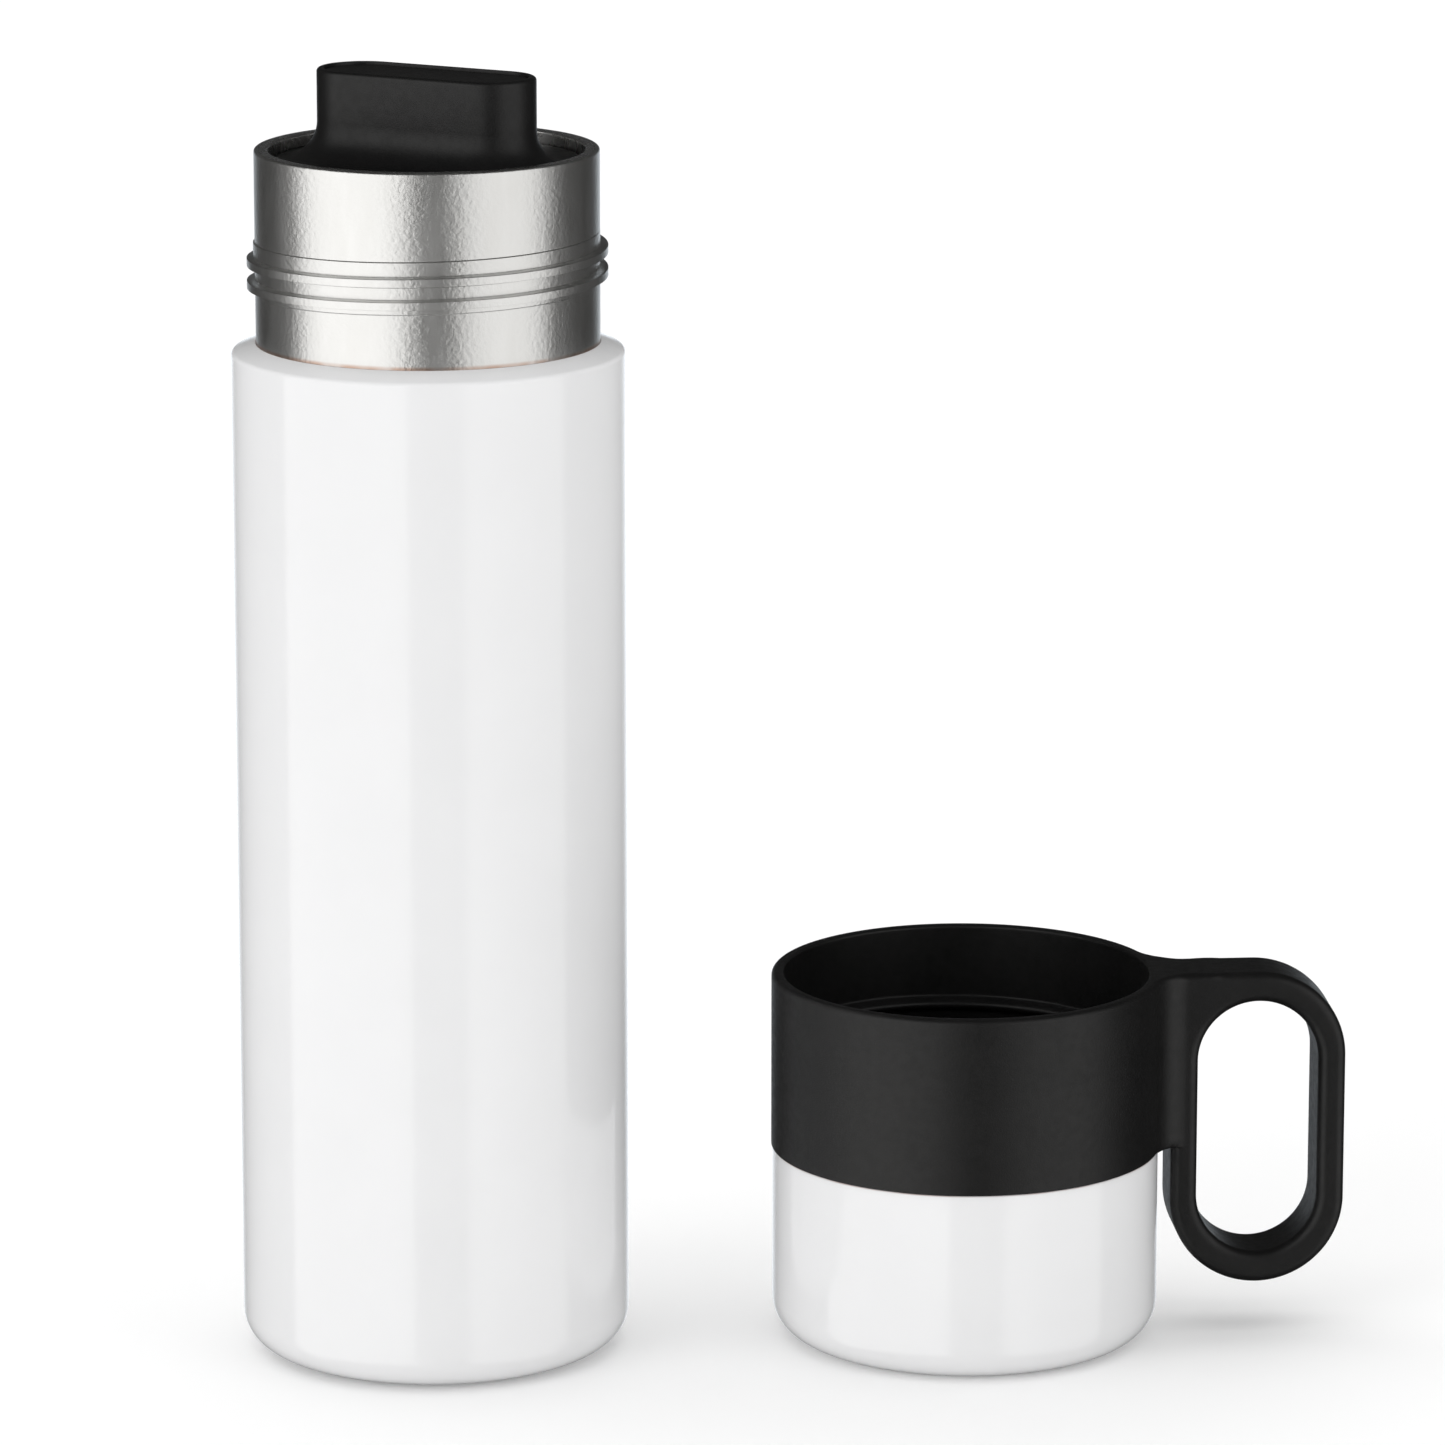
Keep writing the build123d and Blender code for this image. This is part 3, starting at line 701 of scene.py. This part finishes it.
def neck():
    """Bare neck with its thread. Between two level rings the mesh rows climb with the thread, so
    its edges run along them. One turn on, each row is the one a pitch higher at the seam."""
    low = RIDGE_Z - BAND_UNDER - RIDGE_PITCH
    high = RIDGE_Z + RIDGE_PITCH * (RIDGE_TURNS + 1) + BAND_OVER
    outline = rounded([
        (NECK_BORE_R, rim_z, 0.05),
        (NECK_R, rim_z, RIM_EDGE),
        (NECK_R, high + BAND_GAP, 0),
        (NECK_R, low - BAND_GAP, 0),
        (NECK_R, neck_foot_z - NECK_TUCK, 0),
        (NECK_BORE_R, neck_foot_z - NECK_TUCK, 0),
    ], steps=8)

    def nearest(z):
        return int(np.argmin(abs(outline[:, 1] - z) + abs(outline[:, 0] - NECK_R)))

    # The climbing rows take the place of the long stretch from top to foot
    top, foot = nearest(high + BAND_GAP), nearest(low - BAND_GAP)
    outline = np.vstack([outline[:top + 1], outline[foot:]])
    angle = np.arange(COLUMNS) * 2 * math.pi / COLUMNS
    around = np.column_stack([np.cos(angle), np.sin(angle)])
    level = np.concatenate([np.column_stack([r * around, np.full(COLUMNS, z)])
                            for r, z in outline])
    step = RIDGE_PITCH / RIDGE_ROWS
    rows = round((high - low - RIDGE_PITCH) / step)
    climb = low + step * np.arange(rows + 1)
    z = climb[:, None] + RIDGE_PITCH * angle[None, :] / (2 * math.pi)
    turned = np.repeat(angle[None, :], rows + 1, 0)
    # Rows that have no row a pitch higher end in a column of their own
    end_z = RIDGE_PITCH + climb[rows + 1 - RIDGE_ROWS:]
    z = np.concatenate([z.ravel(), end_z])
    turned = np.concatenate([turned.ravel(), np.zeros(len(end_z))])
    ridge = helix_ridge(turned, z, RIDGE_START, RIDGE_TURNS, RIDGE_Z, RIDGE_PITCH,
                        RIDGE_FADE, flanked(RIDGE_BASE, RIDGE_CREST))
    above, below = (
        helix_ridge(turned, z, start, turns, RIDGE_Z + rise, RIDGE_PITCH, fade,
                    flanked(base, crest))
        for start, turns, rise, fade, base, crest in (UPPER_RUNOUT, LOWER_RUNOUT)
    )
    run_out = RUNOUT_HEIGHT * np.maximum(above, LOWER_SHARE * below)
    r = NECK_R + np.maximum(RIDGE_HEIGHT * ridge, run_out)
    verts = np.vstack([level, np.column_stack([r * np.cos(turned), r * np.sin(turned), z])])

    def at(row, column):
        """Number of the vertex where a climbing row meets a column."""
        if column < COLUMNS:
            return len(level) + row * COLUMNS + column
        if row + RIDGE_ROWS <= rows:
            return len(level) + (row + RIDGE_ROWS) * COLUMNS
        return len(level) + (rows + 1) * COLUMNS + row + RIDGE_ROWS - rows - 1

    def ring(row, column):
        return row * COLUMNS + column % COLUMNS

    faces = []
    for i in range(len(outline)):
        if i != top:
            faces += [[ring(i, j), ring((i + 1) % len(outline), j),
                       ring((i + 1) % len(outline), j + 1), ring(i, j + 1)]
                      for j in range(COLUMNS)]
    for j in range(COLUMNS):
        faces += [[at(i + 1, j), at(i, j), at(i, j + 1), at(i + 1, j + 1)] for i in range(rows)]
        upper = [ring(top, j), at(rows, j), at(rows, j + 1), ring(top, j + 1)]
        if j == 0:
            upper[1:1] = [at(i, COLUMNS) for i in range(rows, rows - RIDGE_ROWS, -1)]
        faces.append(upper)
        lower = [at(0, j), ring(top + 1, j), ring(top + 1, j + 1), at(0, j + 1)]
        if j == COLUMNS - 1:
            lower[3:3] = [at(i, 0) for i in range(RIDGE_ROWS)]
        faces.append(lower)
    finish_mesh("neck_steel", verts, faces, FLASK, 0.0, NECK_STEEL, "flask", ["neck_ring"],
                "satin_steel", sharp=28)


def refine(rows, radius, low, high, spacing):
    """Adds close rows on the stretch of an outline that runs upright at a radius."""
    out = []
    for i, a in enumerate(rows):
        b = rows[(i + 1) % len(rows)]
        out.append(a)
        upright = abs(a[0] - radius) < 1e-6 and abs(b[0] - radius) < 1e-6
        if upright and abs(b[1] - a[1]) > spacing:
            start, end = np.clip((a[1], b[1]), low, high)
            if abs(end - start) > spacing:
                for z in np.linspace(start, end, round(abs(end - start) / spacing) + 1):
                    if min(abs(z - a[1]), abs(z - b[1])) > spacing / 3:
                        out.append(np.array((radius, z)))
    return np.array(out)


def vessel():
    """Inner vessel with its lip, threaded mouth and gasket seat."""
    outline = rounded([
        (MOUTH_R, rim_z, 0.4),
        (LIP_R, rim_z, 0.05),
        (LIP_R, rim_z - LIP_THICKNESS, 0),
        (MOUTH_R + SHEET, rim_z - LIP_THICKNESS, 0.3),
        (MOUTH_R + SHEET, SEAT_Z - SHEET, 1.7),
        (THROAT_R + SHEET, SEAT_Z - SHEET, 0.3),
        (THROAT_R + SHEET, THROAT_Z + 0.3, 1.5),
        (VESSEL_R + SHEET, VESSEL_SHOULDER_Z + 0.2, 6.5),
        (VESSEL_R + SHEET, vessel_foot, 0),
        (VESSEL_R, vessel_foot, 0),
        (VESSEL_R, VESSEL_SHOULDER_Z, 6.0),
        (THROAT_R, THROAT_Z, 2.0),
        (THROAT_R, SEAT_Z, 0.7),
        (MOUTH_R, SEAT_Z, 1.2),
    ], steps=8)
    outline = refine(outline, MOUTH_R, MOUTH_Z - 3, MOUTH_Z + STOPPER_LEAD * MOUTH_TURNS + 3, 0.2)

    def bump(angle, r, z):
        ridge = sum(
            helix_ridge(angle, z, start, MOUTH_TURNS, MOUTH_Z, STOPPER_LEAD, 30,
                        flanked(STOPPER_BASE, STOPPER_CREST))
            for start in (0, 180)
        )
        return np.where(np.abs(r - MOUTH_R) < 0.01, (MOUTH_CREST_R - MOUTH_R) * ridge, 0)

    spun("inner_vessel_steel", outline, (STEEL, "flask", ["inner_vessel"], "bright_steel"),
         bump=bump, flip=True)


# ---- Stopper ---------------------------------------------------------------------------
def stadium_ring(half_core, radius, count=COLUMNS):
    """Points round a bar with round ends, as many on each part as its share of the whole."""
    straight = 2 * half_core
    whole = 2 * straight + 2 * math.pi * radius
    points = []
    for k in range(count):
        s = (k / count) * whole
        if s < math.pi * radius / 2:
            a = s / radius
            points.append((half_core + radius * math.cos(a), radius * math.sin(a)))
        elif s < math.pi * radius / 2 + straight:
            points.append((half_core - (s - math.pi * radius / 2), radius))
        elif s < math.pi * radius * 1.5 + straight:
            a = math.pi / 2 + (s - math.pi * radius / 2 - straight) / radius
            points.append((-half_core + radius * math.cos(a), radius * math.sin(a)))
        elif s < math.pi * radius * 1.5 + 2 * straight:
            points.append((-half_core + (s - math.pi * radius * 1.5 - straight), -radius))
        else:
            a = math.pi * 1.5 + (s - math.pi * radius * 1.5 - 2 * straight) / radius
            points.append((half_core + radius * math.cos(a), radius * math.sin(a)))
    return np.array(points)


def stacked(name, rings, look, turn):
    """A solid skinned over rings of equally many points, closed by a fan at both ends."""
    columns = len(rings[0])
    verts = np.vstack(rings)
    faces = ring_faces(len(rings), columns, False).tolist()
    first, last = len(verts), len(verts) + 1
    end = (len(rings) - 1) * columns
    verts = np.vstack([verts, rings[0].mean(0), rings[-1].mean(0)])
    for j in range(columns):
        k = (j + 1) % columns
        faces.append([first, k, j])
        faces.append([last, end + j, end + k])
    return finish_mesh(name, verts, faces, FLASK, turn, *look)


def knob():
    """Disc and bar grip in one, with a pocket for the inlay."""
    half_core = (GRIP_LENGTH - GRIP_WIDTH) / 2
    grip_r = GRIP_WIDTH / 2
    rings = []
    angle = np.arange(COLUMNS) * 2 * math.pi / COLUMNS
    guide = stadium_ring(half_core, grip_r + GRIP_FOOT)
    around = np.arctan2(guide[:, 1], guide[:, 0])

    def level(flat, z):
        rings.append(np.column_stack([flat, np.full(len(flat), z)]))

    def circle(r, z):
        level(np.column_stack([r * np.cos(around), r * np.sin(around)]), z)

    circle(disc_r - 3, disc_foot)
    for a in np.linspace(-90, 0, 7):
        circle(disc_r - DISC_EDGE + DISC_EDGE * math.cos(math.radians(a)),
               disc_foot + DISC_EDGE + DISC_EDGE * math.sin(math.radians(a)))
    for a in np.linspace(0, 90, 7):
        circle(disc_r - DISC_EDGE + DISC_EDGE * math.cos(math.radians(a)),
               DISC_TOP - DISC_EDGE + DISC_EDGE * math.sin(math.radians(a)))
    rim = rings[-1][:, :2]
    for t in (0.03, 0.2, 0.4, 0.6, 0.8, 0.97):
        level(rim + (guide - rim) * t, DISC_TOP)
    for a in np.linspace(0, 90, 15):
        offset = GRIP_FOOT * (1 - math.sin(math.radians(a)))
        rise = GRIP_FOOT * (1 - math.cos(math.radians(a)))
        level(stadium_ring(half_core, grip_r + offset), DISC_TOP + rise)
    for z in (DISC_TOP + GRIP_FOOT + 0.3, (DISC_TOP + GRIP_FOOT + grip_top) / 2,
              grip_top - GRIP_EDGE - 0.25):
        level(stadium_ring(half_core, grip_r), z)
    for a in np.linspace(0, 90, 7):
        level(stadium_ring(half_core, grip_r - GRIP_EDGE + GRIP_EDGE * math.cos(math.radians(a))),
              grip_top - GRIP_EDGE + GRIP_EDGE * math.sin(math.radians(a)))
    inner_r = grip_r - GRIP_BORDER
    for offset, z in ((0.22, 0), (0.2, 0), (0.06, -0.05), (0, -0.2), (0, -0.95), (-0.4, -1.0),
                      (-3.0, -1.0)):
        level(stadium_ring(half_core, inner_r + offset), grip_top + z)
    stacked("stopper_knob_black", rings, (BLACK, "stopper", ["stopper_knob"], "black_plastic"),
            GRIP_TURN)


def inlay():
    """Plate let into the top of the grip."""
    half_core = (GRIP_LENGTH - GRIP_WIDTH) / 2
    radius = GRIP_WIDTH / 2 - GRIP_BORDER - 0.07
    top = inlay_high[2]
    rings = []
    for offset, z in ((-3.0, inlay_low[2]), (-0.1, inlay_low[2]), (0, inlay_low[2] + 0.1),
                      (0, top - 0.2), (-0.06, top - 0.06), (-0.2, top), (-0.5, top),
                      (-3.0, top)):
        flat = stadium_ring(half_core, radius + offset)
        rings.append(np.column_stack([flat, np.full(len(flat), z)]))
    stacked("grip_inlay_black", rings, (BLACK, "stopper", ["grip_inlay"], "black_inlay"),
            GRIP_TURN)


def plug():
    """Hollow threaded plug with its stem."""
    foot = plug_low[2] + STEM_LENGTH
    outline = rounded([
        (0, foot, 0),
        (STEM_BORE_R, foot, 0.3),
        (STEM_BORE_R, plug_low[2], 0),
        (STEM_R, plug_low[2], 0.1),
        (STEM_R, foot, 0.2),
        (PLUG_R, foot, 0.6),
        (PLUG_R, disc_foot, 0.05),
        (PLUG_BORE_R, disc_foot, 0),
        (PLUG_BORE_R, foot + PLUG_FLOOR, 1.0),
        (0, foot + PLUG_FLOOR, 0),
    ], closed=False)
    outline = refine(outline, PLUG_R, foot + 0.8, disc_foot - 0.3, 0.2)

    def bump(angle, r, z):
        ridge = sum(
            helix_ridge(angle, z, PLUG_START + start, PLUG_TURNS, PLUG_Z, STOPPER_LEAD, 30,
                        flanked(STOPPER_BASE, STOPPER_CREST))
            for start in (0, 180)
        )
        return np.where(np.abs(r - PLUG_R) < 0.01, (PLUG_CREST_R - PLUG_R) * ridge, 0)

    spun("stopper_plug_black", outline, (PLUG, "stopper", ["stopper_plug"], "plug_plastic"),
         bump=bump)


# ---- Cup -------------------------------------------------------------------------------
def cup_outer():
    """White outer cup with a recessed base."""
    outline = rounded([
        (0, RECESS_DEPTH, 0),
        (RECESS_R, RECESS_DEPTH, 0.4),
        (RECESS_R + 0.8, 0, 0.4),
        (cup_r, 0, CUP_EDGE),
        (cup_r, COLLAR_Z, 0.25),
        (LIP_OUTER, COLLAR_Z, 0),
        (LIP_OUTER, cup_high[2], 0),
        (cup_r - CUP_WALL, cup_high[2], 0),
        (cup_r - CUP_WALL, CUP_FLOOR, CUP_EDGE - CUP_WALL),
        (0, CUP_FLOOR, 0),
    ], steps=12, closed=False)
    spun("cup_shell_white", outline, (CUP_WHITE, "cup", ["cup_shell"], "white_gloss"), centre=CUP)


def cup_inner():
    """Black inner cup."""
    outline = rounded([
        (0, liner_low[2], 0),
        (LINER_FOOT_R, liner_low[2], 6.2),
        (LINER_STEP_R, LINER_STEP_Z, 0.3),
        (LINER_TOP_R, LINER_STEP_Z + 1.0, 0.3),
        (LINER_TOP_R, liner_high[2], 0.1),
        (LINER_BORE_TOP_R, liner_high[2], 0.5),
        (LINER_BORE_FOOT_R, liner_low[2] + LINER_FLOOR, 5.0),
        (0, liner_low[2] + LINER_FLOOR, 0),
    ], steps=10, closed=False)
    spun("cup_liner_black", outline, (LINER, "cup", ["cup_liner"], "liner_plastic"), centre=CUP)


def collar():
    """Collar with its handle and inside thread, in one skin. The grid is finer at the handle,
    the wall, the joint line, the thread and the top edge."""
    span = 0.26
    around = graded((-span, span, 0.006), (span, 2 * math.pi - span, 0.02))[:-1]
    radii = graded((29.9, 31.6, 0.45), (31.6, 35.2, 0.22), (35.2, 68.0, 0.5))
    heights = graded((handle_foot - 1, COLLAR_Z - 0.6, 0.5), (COLLAR_Z - 0.6, COLLAR_Z + 0.6, 0.2),
                     (COLLAR_Z + 0.6, 45.0, 0.6), (45.0, 57.0, 0.3), (57.0, 64.2, 0.6),
                     (64.2, cup_height + 0.5, 0.2))
    points, quads = wrapped_surface(collar_distance, around, radii, heights)
    finish_mesh("cup_collar_black", points, quads.tolist(), CUP, HANDLE_TURN, BLACK, "cup",
                ["cup_collar"], "black_plastic", sharp=50)


flask_shell()
neck()
vessel()
knob()
inlay()
plug()
cup_outer()
cup_inner()
collar()
for name, material in (("inner_bottom", STEEL), ("base_plate", STEEL), ("base_cover", STEEL),
                       ("getter_clip", STEEL), ("getter", GETTER), ("radiation_shield", COPPER),
                       ("vacuum_seal_bead", GLASS), ("foot_pad", RUBBER),
                       ("stopper_gasket", SILICONE), ("stopper_insulation", FOAM),
                       ("stopper_bottom_cap", PLUG)):
    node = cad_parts[name]
    node.data.materials.clear()
    node.data.materials.append(material)


# ---- Stage, lights and camera ----------------------------------------------------------
def stage_floor():
    """White table, lit a little from inside like opal acrylic, and not seen in reflections."""
    mesh = bpy.data.meshes.new("floor")
    s = FLOOR_HALF
    mesh.from_pydata([(-s, -s, 0), (s, -s, 0), (s, s, 0), (-s, s, 0)], [], [(0, 1, 2, 3)])
    n = Nodes("floor_white")
    n.link(n.mix(n.ramp(n.noise(3, 2), 0.3, 0.7), (0.9, 0.9, 0.9), (0.91, 0.91, 0.91)),
           n.shader.inputs["Base Color"])
    n.set(Roughness=0.9, Emission_Color=(1.0, 1.0, 1.0), Emission_Strength=FLOOR_GLOW)
    mesh.materials.append(n.material)
    floor = bpy.data.objects.new("floor", mesh)
    floor.visible_glossy = False
    bpy.context.scene.collection.objects.link(floor)


def lamp(name, strength, azimuth, elevation, width):
    """Broad far lamp that lights the pieces and isn't mirrored. Azimuth 0 is the
    photographer's side, and it grows towards +X. The width is an angle too."""
    data = bpy.data.lights.new(name, "SUN")
    data.energy = strength
    data.angle = math.radians(width)
    piece = bpy.data.objects.new(name, data)
    piece.rotation_euler = (math.radians(90 - elevation), 0, math.radians(azimuth))
    piece.visible_camera = False
    piece.visible_glossy = False
    bpy.context.scene.collection.objects.link(piece)


def studio_world():
    """Even white light on the pieces. What shiny pieces mirror is a dim room with two tall
    softboxes, one on each side of the photographer, and a bluish glow low at the back."""
    world = bpy.data.worlds.new("studio")
    world.use_nodes = True
    world.cycles.sampling_method = "NONE"
    tree = world.node_tree
    tree.nodes.clear()

    def node(kind, **settings):
        made = tree.nodes.new(kind)
        for key, value in settings.items():
            setattr(made, key, value)
        return made

    def calculate(operation, *values):
        made = node("ShaderNodeMath", operation=operation)
        for socket, value in zip(made.inputs, values):
            if hasattr(value, "is_linked"):
                tree.links.new(value, socket)
            else:
                socket.default_value = value
        return made.outputs[0]

    def step(value, low, high):
        made = node("ShaderNodeMapRange", interpolation_type="SMOOTHSTEP")
        made.inputs["From Min"].default_value = low
        made.inputs["From Max"].default_value = high
        tree.links.new(value, made.inputs["Value"])
        return made.outputs["Result"]

    split = node("ShaderNodeSeparateXYZ")
    tree.links.new(node("ShaderNodeTexCoord").outputs["Generated"], split.inputs[0])
    x, y, z = split.outputs
    azimuth = calculate("ARCTAN2", x, calculate("MULTIPLY", y, -1.0))
    height = calculate("ABSOLUTE", z)
    total = ROOM_GLOW
    for start, end, strength, blur in SOFTBOXES:
        inside = calculate(
            "MULTIPLY",
            step(azimuth, math.radians(start - blur), math.radians(start + blur)),
            step(azimuth, math.radians(end + blur), math.radians(end - blur)),
        )
        inside = calculate("MULTIPLY", inside, step(height, 0.75, 0.55))
        total = calculate("ADD", total, calculate("MULTIPLY", inside, strength))
    back = calculate("MULTIPLY", step(y, 0.87, 0.99), BACK_GLOW)
    back = calculate("MULTIPLY", back, step(z, 0.08, -0.12))
    back = calculate("MULTIPLY", back, step(height, 0.6, 0.3))
    total = calculate("ADD", total, back)
    tint = node("ShaderNodeMix", data_type="RGBA")
    tree.links.new(step(back, 0.0, 0.2), tint.inputs["Factor"])
    tint.inputs["A"].default_value = (1.0, 0.995, 0.985, 1)
    tint.inputs["B"].default_value = (0.87, 0.94, 1.0, 1)
    mirrored = node("ShaderNodeBackground")
    tree.links.new(tint.outputs["Result"], mirrored.inputs["Color"])
    tree.links.new(total, mirrored.inputs["Strength"])
    even = node("ShaderNodeBackground")
    even.inputs["Color"].default_value = (1, 1, 1, 1)
    even.inputs["Strength"].default_value = AMBIENT
    mix = node("ShaderNodeMixShader")
    out = node("ShaderNodeOutputWorld")
    tree.links.new(node("ShaderNodeLightPath").outputs["Is Glossy Ray"], mix.inputs["Fac"])
    tree.links.new(even.outputs[0], mix.inputs[1])
    tree.links.new(mirrored.outputs[0], mix.inputs[2])
    tree.links.new(mix.outputs[0], out.inputs["Surface"])
    bpy.context.scene.world = world


def camera():
    data = bpy.data.cameras.new("camera")
    data.lens = LENS
    data.sensor_width = SENSOR
    data.clip_start, data.clip_end = 0.05, 50.0
    cam = bpy.data.objects.new("camera", data)
    cam.location = CAMERA_PLACE
    cam.rotation_euler = (math.pi / 2 - CAMERA_TILT, 0, 0)
    bpy.context.scene.collection.objects.link(cam)
    bpy.context.scene.camera = cam


stage_floor()
for name, setting in LAMPS.items():
    lamp(name, *setting)
studio_world()
camera()
bpy.context.scene.view_settings.view_transform = "Standard"
